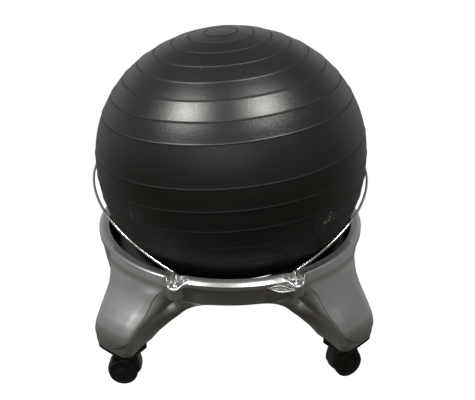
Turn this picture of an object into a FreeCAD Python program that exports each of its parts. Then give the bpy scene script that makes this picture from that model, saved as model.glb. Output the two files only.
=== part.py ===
import FreeCAD, Part
import os
from math import sin, cos, tan, pi, radians, sqrt, atan2, hypot

V = FreeCAD.Vector
os.makedirs("parts", exist_ok=True)

# ---------------------------------------------------------------- sizes, mm
# Frame: the floor is z = 0, the upright through the middle of the base is the
# z axis, -Y is the front and the legs stand on the diagonals.
ball_half_width = 260.0      # the ball sits pressed a little flat: 520 wide
ball_half_height = 236.5
ball_low_full = 6.0            # the lower half is fuller: the skin sags out over the seat
ball_centre = (2.0, 0.0, 384.0)
ball_axis = (-0.0769, 0.0634, 0.995)   # the ball's own pole leans back and left
ball_skin = 1.3
valve_lat = 16.0             # degrees above the ball's own widest circle
valve_az = 90.0              # at the back
valve_hole_r = 4.0

ring_top_z = 239.0
ring_inner_r = 239.0
ring_lip_r = 259.0
band_top_r = 256.0
band_bot_r = 251.0
band_bot_z = 190.0
ring_wall = 3.2
cup_hole_r = 126.0           # open middle of the cup under the ball
moat_z = 196.5               # floor between the cup and the ring's inner wall
cup_gap = 1.0                # room between the rigid cup and the round ball

lug_x, lug_y = 109.0, 234.7  # where the retaining bars stand, each quadrant
lug_r = 15.0
lug_top_z = 224.0
lug_bot_z = 200.0
rod_r = 2.4
rod_hole_r = 2.6
rod_end_z = 188.0
nut_af = 8.0
nut_h = 4.0
washer_r = 5.6
washer_h = 1.0

leg_wall = 3.2
leg_bot_z = 87.0
leg_top_z = 224.0
foot_bot_z = 75.0
foot_inner_u = 266.0         # the inserts stop here, towards the middle

stem_u = 284.0               # distance of each caster stem from the middle
stem_r = 5.5
socket_r = 7.0
trail = 10.0                 # wheel axle behind the swivel axis
wheel_r = 27.8
wheel_w = 15.0
wheel_gap = 5.0              # wheel's inner face to the caster's middle plane
axle_r = 3.0
hood_r = 30.0
hood_room_r = 28.4
hood_top_z = 68.0
# heading of each caster's trail from its stem, degrees from +X
trail_az = {"front_left": 174.7, "front_right": 24.2, "rear_left": 118.0, "rear_right": 66.0}
leg_az = {"front_left": -135.0, "front_right": -45.0, "rear_left": 135.0, "rear_right": 45.0}

# section of a leg at each height: z, reach u, half width w, corner radius,
# and the half angle (degrees off the leg's own line) at which the arch cuts it
leg_table = [
    (87.0, 329.6, 43.2, 15.0, 6.5),
    (98.0, 331.5, 45.3, 16.0, 8.3),
    (113.0, 331.5, 47.0, 18.5, 10.9),
    (128.0, 329.5, 49.5, 22.0, 13.9),
    (143.0, 321.5, 53.5, 28.0, 17.2),
    (158.0, 309.0, 60.5, 35.0, 20.5),
    (173.0, 295.5, 69.0, 42.0, 24.0),
    (190.0, 281.0, 77.5, 45.0, 30.0),
    (205.0, 270.0, 82.5, 44.0, 30.0),
    (224.0, 260.5, 85.0, 38.0, 30.0),
]


def save(name, shape):
    shape = shape.removeSplitter() if name in clean else shape
    ok = shape.isValid() and shape.Volume > 0
    print("%-28s solids %d  vol %9.1f mm3  %s" % (name, len(shape.Solids), shape.Volume, "ok" if ok else "BAD"))
    shape.exportStep("parts/" + name + ".step")


clean = set()


def revolve(pts, axis_pos=V(0, 0, 0), axis=V(0, 0, 1)):
    w = Part.makePolygon([V(*p) for p in pts] + [V(*pts[0])])
    return Part.Face(w).revolve(axis_pos, axis, 360)


def rz(shape, deg):
    s = shape.copy()
    s.rotate(V(0, 0, 0), V(0, 0, 1), deg)
    return s


def fuse(*shapes):
    s = shapes[0]
    for t in shapes[1:]:
        s = s.fuse(t)
    s = s.removeSplitter()
    if len(s.Solids) == 1:
        return s.Solids[0]
    return s


# ------------------------------------------------------------- the ball
bc = V(*ball_centre)
bax = V(*ball_axis)
bax.normalize()


# the pressed ball is turned about its pole: the upper half is a wide arc over the
# pole and a tighter one at the widest circle, the lower half a fuller smooth curve
oval_r1 = 226.0
oval_h = ball_half_width - oval_r1
oval_q = ball_half_height - oval_r1
oval_k = (oval_h ** 2 - oval_q ** 2) / (2 * oval_q)
oval_r2 = ball_half_height + oval_k
oval_ang = atan2(oval_k, oval_h)             # where the two arcs meet


def lower_point(t, off):
    # a point of the lower half, t the slope of the skin's normal below level
    b = (ball_half_width - ball_half_height) / 2
    a = (ball_half_width + ball_half_height) / 2 + ball_low_full
    c = -ball_low_full
    reach = a + b * cos(2 * t) + c * cos(4 * t) - off
    turn = -2 * b * sin(2 * t) - 4 * c * sin(4 * t)
    return V(reach * cos(t) - turn * sin(t), 0, -reach * sin(t) - turn * cos(t))


def ellipsoid(off):
    # the ball's form, set in by off
    r1, r2 = oval_r1 - off, oval_r2 - off
    h, k, a = oval_h, oval_k, oval_ang
    c = ball_half_height - off
    pt = lambda cx, cz, r, t: V(cx + r * cos(t), 0, cz + r * sin(t))
    m2 = (a + pi / 2) / 2
    top = Part.Arc(pt(0, -k, r2, pi / 2), pt(0, -k, r2, m2), pt(0, -k, r2, a)).toShape()
    mid = Part.Arc(pt(h, 0, r1, a), pt(h, 0, r1, a / 2), pt(h, 0, r1, 0)).toShape()
    pts = [lower_point(i * pi / 40, off) for i in range(21)]
    curve = Part.BSplineCurve()
    curve.interpolate(Points=pts, InitialTangent=V(0, 0, -1), FinalTangent=V(-1, 0, 0))
    bot = curve.toShape()
    line = Part.makeLine(V(0, 0, -c), V(0, 0, c))
    f = Part.Face(Part.Wire([top, mid, bot, line]))
    s = f.revolve(V(0, 0, 0), V(0, 0, 1), 360)
    return Part.Solid(s.Shells[0]) if not s.Solids else s.Solids[0]


def to_ball(shape):
    rot = FreeCAD.Rotation(V(0, 0, 1), bax)
    s = shape.copy()
    s.Placement = FreeCAD.Placement(bc, rot).multiply(s.Placement)
    return s


outer = ellipsoid(0.0)
inner = ellipsoid(ball_skin)
# the valve lies on the ball's plain middle band, at the back, square to the skin
t = radians(valve_lat)
vn = V(cos(t), 0, sin(t))
vp = V(oval_h, 0, 0) + vn * oval_r1
seat_len = 9.0
seat = Part.makeCylinder(8.0, seat_len, vp - vn * (seat_len + 0.4), vn)
seat = seat.common(outer)
skin = outer.cut(inner)
ball = skin.fuse(seat)
ball = ball.cut(Part.makeCylinder(valve_hole_r, 40, vp - vn * 20, vn))
ball = rz(ball, valve_az)
ball = to_ball(ball)
if len(ball.Solids) == 1:
    ball = ball.Solids[0]

plug = Part.makeCylinder(valve_hole_r - 0.05, 15.0, vp - vn * 14.7, vn)
plug = plug.fuse(Part.makeCylinder(6.5, 1.4, vp + vn * 0.3, vn))
plug = rz(plug.removeSplitter(), valve_az)
plug = to_ball(plug)
vp_w = to_ball(rz(Part.Vertex(vp), valve_az)).Vertexes[0].Point
vn_w = FreeCAD.Rotation(V(0, 0, 1), bax).multVec(FreeCAD.Rotation(V(0, 0, 1), valve_az).multVec(vn))
print("valve at", [round(c, 2) for c in vp_w], "out", [round(c, 4) for c in vn_w])

# ------------------------------------------------------------- seat ring


# how low the leaning ball's underside comes at each distance from the z axis
under = [(126.0, 165.8), (130.0, 167.3), (140.0, 171.5), (150.0, 176.3), (160.0, 181.7), (170.0, 187.9), (180.0, 195.1),
         (190.0, 203.3)]


def ball_z(r):
    for (ra, za), (rb, zb) in zip(under, under[1:]):
        if ra <= r <= rb:
            return za + (zb - za) * (r - ra) / (rb - ra)
    return under[0][1] if r < under[0][0] else under[-1][1]


cup = []
r_hi, r_lo = 190.0, cup_hole_r
for r, z in reversed(under):
    cup.append((r, z - cup_gap))
low = [(r + 1.2, z - ring_wall) for r, z in reversed(cup)]
lip = [(247.0, ring_top_z), (252.0, ring_top_z - 1.6), (256.0, ring_top_z - 4.8), (258.3, ring_top_z - 8.4),
       (ring_lip_r, ring_top_z - 12.0), (258.2, ring_top_z - 15.0), (band_top_r, ring_top_z - 16.0)]
# the lip and band, then the inner wall, the moat floor and the cup as one skin
prof = [(ring_inner_r + 1.5, ring_top_z)] + lip + [
    (band_bot_r, band_bot_z), (band_bot_r - ring_wall, band_bot_z), (252.2, 229.0), (248.5, 233.5),
    (ring_inner_r + ring_wall, ring_top_z - ring_wall), (239.2, moat_z + 4.0), (237.6, moat_z - ring_wall),
    (195.2, moat_z - ring_wall), (190.6, cup[0][1] - 7.5),
]
prof += low[::-1][1:]
prof += cup[::-1] + [(194.3, cup[0][1] - 2.9), (198.4, moat_z), (234.2, moat_z), (236.2, moat_z + 4.5), (ring_inner_r, ring_top_z - 1.5)]
ring = revolve([(r, 0, z) for r, z in prof])
if not ring.Solids:
    ring = Part.Solid(ring.Shells[0])
else:
    ring = ring.Solids[0]
quad = [(sx, sy) for sx in (-1, 1) for sy in (-1, 1)]
for sx, sy in quad:
    p = V(sx * lug_x, sy * lug_y, 0)
    ring = ring.fuse(Part.makeCylinder(lug_r, lug_top_z - lug_bot_z, V(p.x, p.y, lug_bot_z)))
for sx, sy in quad:
    ring = ring.cut(Part.makeCylinder(10.5, 40, V(sx * lug_x, sy * lug_y, lug_top_z)))
    ring = ring.cut(Part.makeCylinder(rod_hole_r, 60, V(sx * lug_x, sy * lug_y, lug_bot_z - 10)))
ring = ring.removeSplitter()
if len(ring.Solids) >= 1:
    ring = sorted(ring.Solids, key=lambda s: -s.Volume)[0]

# ------------------------------------------------------------- legs


def section(z, u, w, rho, ang, off=0.0, inner_u=None):
    # closed outline of one leg at height z, in the leg's own u, v axes
    u = u - off
    w = w - off
    rho = max(rho - off, 3.0)
    re = band_bot_r
    ue = re * cos(radians(ang))
    ve = re * sin(radians(ang)) - off
    ui = ue if inner_u is None else inner_u
    if inner_u is not None:
        # carry the flank's line on to the given inner end
        k = (ve - w) / (ue - (u - rho))
        ve = ve + k * (ui - ue)
    k45 = rho * (1 - cos(pi / 4))
    P = V
    pts = [P(ui, -ve, z), P(u - rho, -w, z), P(u - k45, -w + k45, z), P(u, -w + rho, z),
           P(u, w - rho, z), P(u - k45, w - k45, z), P(u - rho, w, z), P(ui, ve, z)]
    e = [Part.makeLine(pts[0], pts[1]), Part.Arc(pts[1], pts[2], pts[3]).toShape(),
         Part.makeLine(pts[3], pts[4]), Part.Arc(pts[4], pts[5], pts[6]).toShape(),
         Part.makeLine(pts[6], pts[7]), Part.makeLine(pts[7], pts[0])]
    return Part.Wire(e)


outer_w = [section(*row) for row in leg_table]
leg_out = Part.makeLoft(outer_w, True, True)
inner_rows = [(leg_table[0][0] - 2.0,) + leg_table[0][1:]] + leg_table[1:-1] + [(leg_top_z - leg_wall,) + leg_table[-1][1:]]
inner_w = [section(*row, off=leg_wall, inner_u=200.0) for row in inner_rows]
leg_in = Part.makeLoft(inner_w, True, True)
leg = leg_out.cut(leg_in)
# the legs grow out of the ring's band: nothing of them lies inside it
keep_out = revolve([(0, 0, leg_bot_z - 5), (band_bot_r - ring_wall, 0, leg_bot_z - 5), (band_bot_r - ring_wall, 0, band_bot_z),
                    (band_bot_r, 0, band_bot_z), (band_top_r, 0, ring_top_z - 16.0), (258.2, 0, ring_top_z - 15.0),
                    (258.2, 0, ring_top_z + 9), (0, 0, ring_top_z + 9)])
leg = leg.cut(keep_out)
leg = leg.cut(Part.makeBox(400, 400, 20, V(100, -200, leg_top_z - 0.5)))
lugs = []
leg = sorted(leg.Solids, key=lambda s: -s.Volume)[0]

legs = {}
for nm, az in leg_az.items():
    s = rz(leg, az)
    for sx, sy in quad:
        c = Part.makeCylinder(lug_r + 0.3, 60, V(sx * lug_x, sy * lug_y, 180))
        if s.distToShape(c)[0] < 0.01:
            s = s.cut(c)
    legs[nm] = sorted(s.Solids, key=lambda q: -q.Volume)[0]

# ------------------------------------------------------------- foot inserts
row = leg_table[0]
f0 = section(leg_bot_z, row[1], row[2], row[3], row[4], off=0.8)
f1 = section(leg_bot_z - 6.0, row[1] - 0.6, row[2] - 0.6, row[3], row[4], off=0.8)
f2 = section(foot_bot_z, row[1] - 5.0, row[2] - 5.0, row[3], row[4], off=0.8)
foot = Part.makeLoft([f0, f1, f2], True, True)
g0 = section(leg_bot_z, row[1], row[2], row[3], row[4], off=leg_wall + 0.35)
g1 = section(leg_bot_z + 10.0, row[1], row[2], row[3], row[4], off=leg_wall + 0.35)
foot = foot.fuse(Part.makeLoft([g0, g1], True, True))
foot = foot.cut(Part.makeBox(200, 200, 60, V(foot_inner_u - 200.0, -100, foot_bot_z - 10)))
foot = foot.fuse(Part.makeCylinder(13.0, 122.0 - leg_bot_z, V(stem_u, 0, leg_bot_z)))
# hollow underside left between the outer wall and the caster's boss, as moulded
foot = foot.cut(Part.makeCylinder(socket_r, 44.0, V(stem_u, 0, foot_bot_z - 1.0)))
foot = foot.removeSplitter()
foot = sorted(foot.Solids, key=lambda s: -s.Volume)[0]

socket = Part.makeCylinder(socket_r, 42.5, V(stem_u, 0, foot_bot_z + 0.3))
socket = socket.cut(Part.makeCylinder(stem_r + 0.05, 60, V(stem_u, 0, foot_bot_z - 5)))

# ------------------------------------------------------------- casters
# drawn with the stem on the z axis and the wheels trailing along +X


def caster():
    ax = V(trail, 0, wheel_r)
    half = wheel_gap + wheel_w
    cyl = lambda r, w0, w1: Part.makeCylinder(r, w1 - w0, V(ax.x, w0, ax.z), V(0, 1, 0))
    hood = cyl(hood_r, -half - 1.0, half + 1.0)
    # the shoulders over the wheels, rounded off towards the stem
    top = Part.makeBox(58.0, 2 * half + 2.0, hood_top_z - wheel_r, V(-24.0, -half - 1.0, wheel_r))
    up = [e for e in top.Edges if abs(e.Vertexes[0].Z - e.Vertexes[1].Z) > 1]
    top = top.makeFillet(10.0, up)
    rim = [e for e in top.Edges if e.BoundBox.ZMin > hood_top_z - 0.01]
    top = top.makeFillet(8.0, rim)
    hood = hood.fuse(top)
    # room for the two wheels, their middle web left standing
    room = cyl(hood_room_r, -half - 10.0, -wheel_gap + 1.0).fuse(cyl(hood_room_r, wheel_gap - 1.0, half + 10.0))
    hood = hood.cut(room)
    # the hood stops at the axle's height, the web a little lower
    cutb = Part.makeBox(200, 200, 60, V(-100, -100, wheel_r - 3.0 - 60))
    web = cyl(11.0, -wheel_gap + 1.0, wheel_gap - 1.0)
    hood = hood.cut(cutb).fuse(web.cut(Part.makeBox(200, 200, 60, V(-100, -100, 12.0 - 60))))
    hood = hood.cut(cyl(axle_r, -40, 40))
    hood = hood.cut(Part.makeCylinder(stem_r, 30.0, V(0, 0, 58.0)))
    hood = hood.removeSplitter()
    hood = sorted(hood.Solids, key=lambda s: -s.Volume)[0]
    stem = Part.makeCylinder(stem_r, 108.0 - 58.0, V(0, 0, 58.0))
    tip = Part.makeCone(stem_r, stem_r - 2.0, 4.0, V(0, 0, 108.0))
    stem = stem.fuse(tip).removeSplitter()
    stem = stem.fuse(Part.makeCylinder(9.0, 1.2, V(0, 0, hood_top_z))).removeSplitter()
    axle = cyl(axle_r, -half + 2.5, half - 2.5)
    # one wheel, on the +Y side
    w0, w1 = wheel_gap, wheel_gap + wheel_w
    p = [(axle_r + 0.05, w0), (23.5, w0), (26.2, w0 + 0.6), (wheel_r, w0 + 3.0), (wheel_r, w1 - 3.6), (wheel_r - 0.8, w1 - 1.6),
         (25.2, w1 - 0.4), (22.5, w1), (20.5, w1 - 0.8), (9.0, w1 - 0.8), (7.5, w1), (0, w1 + 0.6), (0, w1 - 2.2),
         (axle_r + 0.05, w1 - 2.2)]
    f = Part.Face(Part.makePolygon([V(r, y, 0) for r, y in p] + [V(p[0][0], p[0][1], 0)]))
    wheel = f.revolve(V(0, 0, 0), V(0, 1, 0), 360)
    wheel = wheel.Solids[0] if wheel.Solids else Part.Solid(wheel.Shells[0])
    wa = wheel.copy()
    wa.translate(ax)
    wb = wheel.copy()
    wb.rotate(V(0, 0, 0), V(0, 0, 1), 180)
    wb.translate(ax)
    return {"hood": hood, "stem": stem, "axle": axle, "wheel_left": wa, "wheel_right": wb}


cast = caster()

# ------------------------------------------------------------- retaining bars
# each bar: upright through the front lug, a tight bend, one long bow round the
# ball's side in a slanted plane, a bend and an upright through the rear lug
bar_beta = radians(31.25)
bar_corner_z = 251.0
bow = [(0.0, -234.7), (46.0, -227.0), (179.9, -190.3), (179.9, 0.0)]
bend_r = 8.0


def bez(t):
    a = (1 - t) ** 3
    b = 3 * (1 - t) ** 2 * t
    c = 3 * (1 - t) * t * t
    d = t ** 3
    return (a * bow[0][0] + b * bow[1][0] + c * bow[2][0] + d * bow[3][0],
            a * bow[0][1] + b * bow[1][1] + c * bow[2][1] + d * bow[3][1])


def dbez(t):
    a = 3 * (1 - t) ** 2
    b = 6 * (1 - t) * t
    c = 3 * t * t
    x = a * (bow[1][0] - bow[0][0]) + b * (bow[2][0] - bow[1][0]) + c * (bow[3][0] - bow[2][0])
    y = a * (bow[1][1] - bow[0][1]) + b * (bow[2][1] - bow[1][1]) + c * (bow[3][1] - bow[2][1])
    h = hypot(x, y)
    return (x / h, y / h)


def lift(a, y, side):
    return V(side * (lug_x + a * cos(bar_beta)), y, bar_corner_z + a * sin(bar_beta))


def biarc(p0, t0, p1, t1):
    # two tangent arcs from p0 along t0 to p1 along t1, in the bow's plane
    vx_, vy_ = p1[0] - p0[0], p1[1] - p0[1]
    tx, ty = t0[0] + t1[0], t0[1] + t1[1]
    vt = vx_ * tx + vy_ * ty
    vv = vx_ * vx_ + vy_ * vy_
    tt = 2 * (1 - (t0[0] * t1[0] + t0[1] * t1[1]))
    if tt < 1e-9:
        d = vv / (4 * (vx_ * t0[0] + vy_ * t0[1]))
    else:
        d = (-vt + sqrt(vt * vt + tt * vv)) / tt
    q0 = (p0[0] + d * t0[0], p0[1] + d * t0[1])
    q1 = (p1[0] - d * t1[0], p1[1] - d * t1[1])
    m = ((q0[0] + q1[0]) / 2, (q0[1] + q1[1]) / 2)
    return q0, m, q1


def arc_mid(p0, q, p1):
    # middle point of the arc that touches p0-q and q-p1, with |p0 q| = |q p1|
    mx, my = (p0[0] + p1[0]) / 2, (p0[1] + p1[1]) / 2
    h = hypot(q[0] - mx, q[1] - my)
    if h < 1e-6:
        return None
    c = hypot(p1[0] - p0[0], p1[1] - p0[1]) / 2
    a = hypot(c, h)
    # distance from chord to arc top
    s = c * c / h
    R = sqrt(c * c + s * s)
    sag = R - s
    k = sag / h
    return (mx + (q[0] - mx) * k, my + (q[1] - my) * k)


def bar(side):
    edges = []
    # half of the bow, from just past the bend to the middle
    t_start = 0.03
    N = 8
    ts = [t_start + (1 - t_start) * i / N for i in range(N + 1)]
    P = [bez(t) for t in ts]
    T = [dbez(t) for t in ts]
    seg = []
    for i in range(N):
        q0, m, q1 = biarc(P[i], T[i], P[i + 1], T[i + 1])
        seg.append((P[i], arc_mid(P[i], q0, m), m))
        seg.append((m, arc_mid(m, q1, P[i + 1]), P[i + 1]))
    start = P[0]
    st = lift(start[0], start[1], side)
    sd = (lift(start[0] + T[0][0], start[1] + T[0][1], side) - st)
    sd.normalize()
    # bend: from the upright through the corner into the bow
    # the straight line back from the bow's start meets the upright near the corner
    upx, upy = side * lug_x, -lug_y
    # bend arc tangent to vertical and to sd, passing near the corner
    corner = V(upx, upy, bar_corner_z)
    dvec = st - corner
    dl = dvec.Length
    ddir = V(dvec)
    ddir.normalize()
    ang = V(0, 0, 1).getAngle(ddir)
    tl = bend_r * tan(ang / 2)
    b0 = corner - V(0, 0, 1) * tl
    b1 = corner + ddir * tl
    mid_dir = (V(0, 0, -1) + ddir)
    mid_dir.normalize()
    cdist = bend_r / cos(ang / 2)
    centre = corner + mid_dir * cdist
    bm = centre - mid_dir * bend_r
    edges.append(Part.makeLine(V(upx, upy, rod_end_z), b0))
    edges.append(Part.Arc(b0, bm, b1).toShape())
    edges.append(Part.makeLine(b1, st))
    first = edges[:]
    for a, mm, b in seg:
        A = lift(a[0], a[1], side)
        B = lift(b[0], b[1], side)
        if mm is None:
            edges.append(Part.makeLine(A, B))
        else:
            edges.append(Part.Arc(A, lift(mm[0], mm[1], side), B).toShape())
    front = Part.Wire(edges)
    back = [e.mirror(V(0, 0, 0), V(0, 1, 0)) for e in reversed(edges)]
    path = Part.Wire(Part.__sortEdges__(edges + back))
    c = Part.Wire(Part.makeCircle(rod_r, V(upx, upy, rod_end_z), V(0, 0, 1)))
    s = path.makePipeShell([c], True, False)
    return s, path.Length


def nut_shape(z0, h, x, y):
    r = nut_af / 2 / cos(pi / 6)
    pts = [V(x + r * cos(k * pi / 3), y + r * sin(k * pi / 3), z0) for k in range(7)]
    s = Part.Face(Part.makePolygon(pts)).extrude(V(0, 0, h))
    cone = Part.makeCone(r + 0.2, r - 1.2, 1.4, V(x, y, z0 + h - 0.9))
    body = s.common(Part.makeCylinder(r - 0.02, h, V(x, y, z0)))
    return body.cut(Part.makeCylinder(rod_r, h + 2, V(x, y, z0 - 1)))


def washer(z0, x, y):
    return Part.makeCylinder(washer_r, washer_h, V(x, y, z0)).cut(Part.makeCylinder(rod_hole_r, washer_h + 2, V(x, y, z0 - 1)))


# ------------------------------------------------------------- blank pad
# an almond plate, tilted back, from the ring's lip to the front of the right lug
pad_n = V(0.0678, -0.9038, 0.4226)
pad_n.normalize()
pad_tips = [(54.3, -252.5, 226.0), (106.6, -252.3, 218.1)]
pad_over = [(60.6, -251.4, 227.4), (67.9, -250.4, 228.3), (78.7, -249.5, 228.5), (87.7, -249.3, 227.5), (98.5, -250.8, 222.6)]
pad_under = [(96.6, -253.7, 216.7), (85.7, -254.6, 216.5), (74.9, -254.9, 217.5), (62.3, -253.8, 221.9)]
pad_o = V(*pad_tips[0])


def flat(p):
    q = V(*p)
    return q - pad_n * (q - pad_o).dot(pad_n)


upper = Part.BSplineCurve()
upper.interpolate([flat(p) for p in [pad_tips[0]] + pad_over + [pad_tips[1]]])
lower = Part.BSplineCurve()
lower.interpolate([flat(p) for p in [pad_tips[1]] + pad_under + [pad_tips[0]]])
pad = Part.Face(Part.Wire([upper.toShape(), lower.toShape()])).extrude(pad_n * -14.0)
inside = revolve([(200, 0, band_bot_z - 1), (band_bot_r, 0, band_bot_z - 1), (band_bot_r, 0, band_bot_z)]
                 + [(r, 0, z) for r, z in reversed(lip)] + [(200, 0, ring_top_z)])
pad = pad.cut(inside)
pad = pad.cut(Part.makeCylinder(lug_r, lug_top_z - lug_bot_z, V(lug_x, -lug_y, lug_bot_z)))
pad = pad.cut(Part.makeCylinder(lug_r, 20.0, V(lug_x, -lug_y, lug_top_z)))
pad = sorted(pad.Solids, key=lambda s: -s.Volume)[0]

# ------------------------------------------------------------- write
save("exercise_ball", ball)
save("valve_plug", plug)
save("seat_ring", ring)
save("blank_pad", pad)
for nm, az in leg_az.items():
    save("leg_" + nm, legs[nm])
    save("foot_insert_" + nm, rz(foot, az))
    save("stem_socket_" + nm, rz(socket, az))
    a = radians(az)
    pos = V(stem_u * cos(a), stem_u * sin(a), 0)
    for k, s in cast.items():
        q = rz(s, trail_az[nm])
        q.translate(pos)
        save("caster_%s_%s" % (nm, k), q)
    tr = radians(trail_az[nm])
    print("   stem", round(pos.x, 3), round(pos.y, 3), "axle centre", round(pos.x + trail * cos(tr), 3), round(pos.y + trail * sin(tr), 3),
          "axle dir", round(-sin(tr), 6), round(cos(tr), 6))

for nm, side in (("left", -1), ("right", 1)):
    b, length = bar(side)
    print("bar length", round(length, 1), "section check", round(b.Volume / (pi * rod_r ** 2), 1))
    save("retaining_bar_" + nm, b)

un = Part.makeCompound([nut_shape(lug_top_z + washer_h, nut_h, sx * lug_x, sy * lug_y) for sx, sy in quad])
wa = Part.makeCompound([washer(lug_top_z, sx * lug_x, sy * lug_y) for sx, sy in quad])
ln = Part.makeCompound([nut_shape(lug_bot_z - nut_h, nut_h, sx * lug_x, sy * lug_y) for sx, sy in quad])
save("upper_nuts", un)
save("upper_washers", wa)
save("lower_nuts", ln)
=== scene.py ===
import bpy
import bmesh
import numpy as np
from math import sin, cos, tan, pi, radians, degrees, sqrt, atan2, hypot, asin, acos
from mathutils import Vector, Matrix


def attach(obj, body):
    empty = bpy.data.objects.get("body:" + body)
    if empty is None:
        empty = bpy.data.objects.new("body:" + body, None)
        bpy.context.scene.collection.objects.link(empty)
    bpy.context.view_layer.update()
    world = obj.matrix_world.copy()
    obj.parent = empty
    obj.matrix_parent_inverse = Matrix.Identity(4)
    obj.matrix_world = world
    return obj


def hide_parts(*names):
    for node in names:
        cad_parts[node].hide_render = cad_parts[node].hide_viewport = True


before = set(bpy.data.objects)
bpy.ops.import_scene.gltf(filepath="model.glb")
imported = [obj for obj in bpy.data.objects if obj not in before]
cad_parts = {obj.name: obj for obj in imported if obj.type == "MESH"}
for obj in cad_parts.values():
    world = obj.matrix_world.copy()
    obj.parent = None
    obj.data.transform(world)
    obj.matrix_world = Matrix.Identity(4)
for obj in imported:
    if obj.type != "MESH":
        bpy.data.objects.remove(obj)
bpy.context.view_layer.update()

scene = bpy.context.scene
MM = 0.001


# ------------------------------------------------------------------ helpers
def new_mesh_object(name, verts, faces, mat=None, smooth=True, sharp=None, weld=None):
    me = bpy.data.meshes.new(name)
    me.from_pydata([tuple(v) for v in verts], [], [tuple(int(i) for i in f) for f in faces])
    me.update()
    if weld:
        bm = bmesh.new()
        bm.from_mesh(me)
        bmesh.ops.remove_doubles(bm, verts=bm.verts, dist=weld)
        bmesh.ops.dissolve_degenerate(bm, dist=1e-7, edges=bm.edges)
        bmesh.ops.recalc_face_normals(bm, faces=bm.faces)
        bm.to_mesh(me)
        bm.free()
    for p in me.polygons:
        p.use_smooth = smooth
    if sharp is not None:
        me.set_sharp_from_angle(angle=radians(sharp))
    ob = bpy.data.objects.new(name, me)
    scene.collection.objects.link(ob)
    if mat is not None:
        me.materials.append(mat)
    return ob


def bake_modifiers(ob, sharp=None):
    dg = bpy.context.evaluated_depsgraph_get()
    dg.update()
    me = bpy.data.meshes.new_from_object(ob.evaluated_get(dg), preserve_all_data_layers=True, depsgraph=dg)
    old = ob.data
    ob.modifiers.clear()
    ob.data = me
    me.name = ob.name
    if old.users == 0:
        bpy.data.meshes.remove(old)
    for p in me.polygons:
        p.use_smooth = True
    if sharp is not None:
        me.set_sharp_from_angle(angle=radians(sharp))
    return ob


def grid_faces(nr, nc, closed_c=False, base=0, flip=False):
    f = []
    cc = nc if closed_c else nc - 1
    for i in range(nr - 1):
        for j in range(cc):
            a = base + i * nc + j
            b = base + i * nc + (j + 1) % nc
            c = base + (i + 1) * nc + (j + 1) % nc
            d = base + (i + 1) * nc + j
            f.append((a, d, c, b) if flip else (a, b, c, d))
    return f


def revolve(profile, segs, origin, axis, ref=None, cap=True, phase=0.0):
    """verts and faces of a profile of (r, h) turned about axis through origin"""
    ax = Vector(axis).normalized()
    rf = Vector(ref) if ref is not None else (Vector((1, 0, 0)) if abs(ax.x) < 0.9 else Vector((0, 1, 0)))
    ex = (rf - ax * rf.dot(ax)).normalized()
    ey = ax.cross(ex)
    o = Vector(origin)
    verts, faces = [], []
    rings = []
    for r, h in profile:
        if r < 1e-9:
            rings.append([len(verts)])
            verts.append(o + ax * h)
        else:
            ids = []
            for k in range(segs):
                t = 2 * pi * k / segs + phase
                ids.append(len(verts))
                verts.append(o + ax * h + ex * (r * cos(t)) + ey * (r * sin(t)))
            rings.append(ids)
    for a, b in zip(rings, rings[1:]):
        for k in range(segs):
            k2 = (k + 1) % segs
            if len(a) == 1 and len(b) == 1:
                continue
            if len(a) == 1:
                faces.append((a[0], b[k2], b[k]))
            elif len(b) == 1:
                faces.append((a[k], a[k2], b[0]))
            else:
                faces.append((a[k], a[k2], b[k2], b[k]))
    return verts, faces


def pchip(xs, ys, x):
    """monotone cubic interpolation of a table"""
    xs = np.asarray(xs, float)
    ys = np.asarray(ys, float)
    if xs[0] > xs[-1]:
        xs, ys = xs[::-1], ys[::-1]
    h = np.diff(xs)
    dl = np.diff(ys) / h
    d = np.zeros_like(ys)
    for i in range(1, len(xs) - 1):
        if dl[i - 1] * dl[i] > 0:
            w1, w2 = 2 * h[i] + h[i - 1], h[i] + 2 * h[i - 1]
            d[i] = (w1 + w2) / (w1 / dl[i - 1] + w2 / dl[i])
    d[0], d[-1] = dl[0], dl[-1]
    x = np.clip(np.asarray(x, float), xs[0], xs[-1])
    k = np.clip(np.searchsorted(xs, x) - 1, 0, len(xs) - 2)
    t = (x - xs[k]) / h[k]
    h00 = 2 * t ** 3 - 3 * t ** 2 + 1
    h10 = t ** 3 - 2 * t ** 2 + t
    h01 = -2 * t ** 3 + 3 * t ** 2
    h11 = t ** 3 - t ** 2
    return h00 * ys[k] + h10 * h[k] * d[k] + h01 * ys[k + 1] + h11 * h[k] * d[k + 1]


def sstep(a, b, x):
    t = np.clip((np.asarray(x, float) - a) / (b - a), 0, 1)
    return t * t * (3 - 2 * t)


# ---------------------------------------------------------------- materials
def material(name):
    m = bpy.data.materials.new(name)
    m.use_nodes = True
    nt = m.node_tree
    for n in list(nt.nodes):
        nt.nodes.remove(n)
    out = nt.nodes.new("ShaderNodeOutputMaterial")
    b = nt.nodes.new("ShaderNodeBsdfPrincipled")
    nt.links.new(b.outputs[0], out.inputs[0])
    return m, nt, b


def noise(nt, scale, detail=2.0, rough=0.5, coords="Object", stretch=None, distortion=0.0):
    tc = nt.nodes.new("ShaderNodeTexCoord")
    n = nt.nodes.new("ShaderNodeTexNoise")
    n.inputs["Scale"].default_value = scale
    n.inputs["Detail"].default_value = detail
    n.inputs["Roughness"].default_value = rough
    n.inputs["Distortion"].default_value = distortion
    if stretch is not None:
        mp = nt.nodes.new("ShaderNodeMapping")
        mp.inputs["Scale"].default_value = stretch
        nt.links.new(tc.outputs[coords], mp.inputs["Vector"])
        nt.links.new(mp.outputs["Vector"], n.inputs["Vector"])
    else:
        nt.links.new(tc.outputs[coords], n.inputs["Vector"])
    return n


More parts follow.
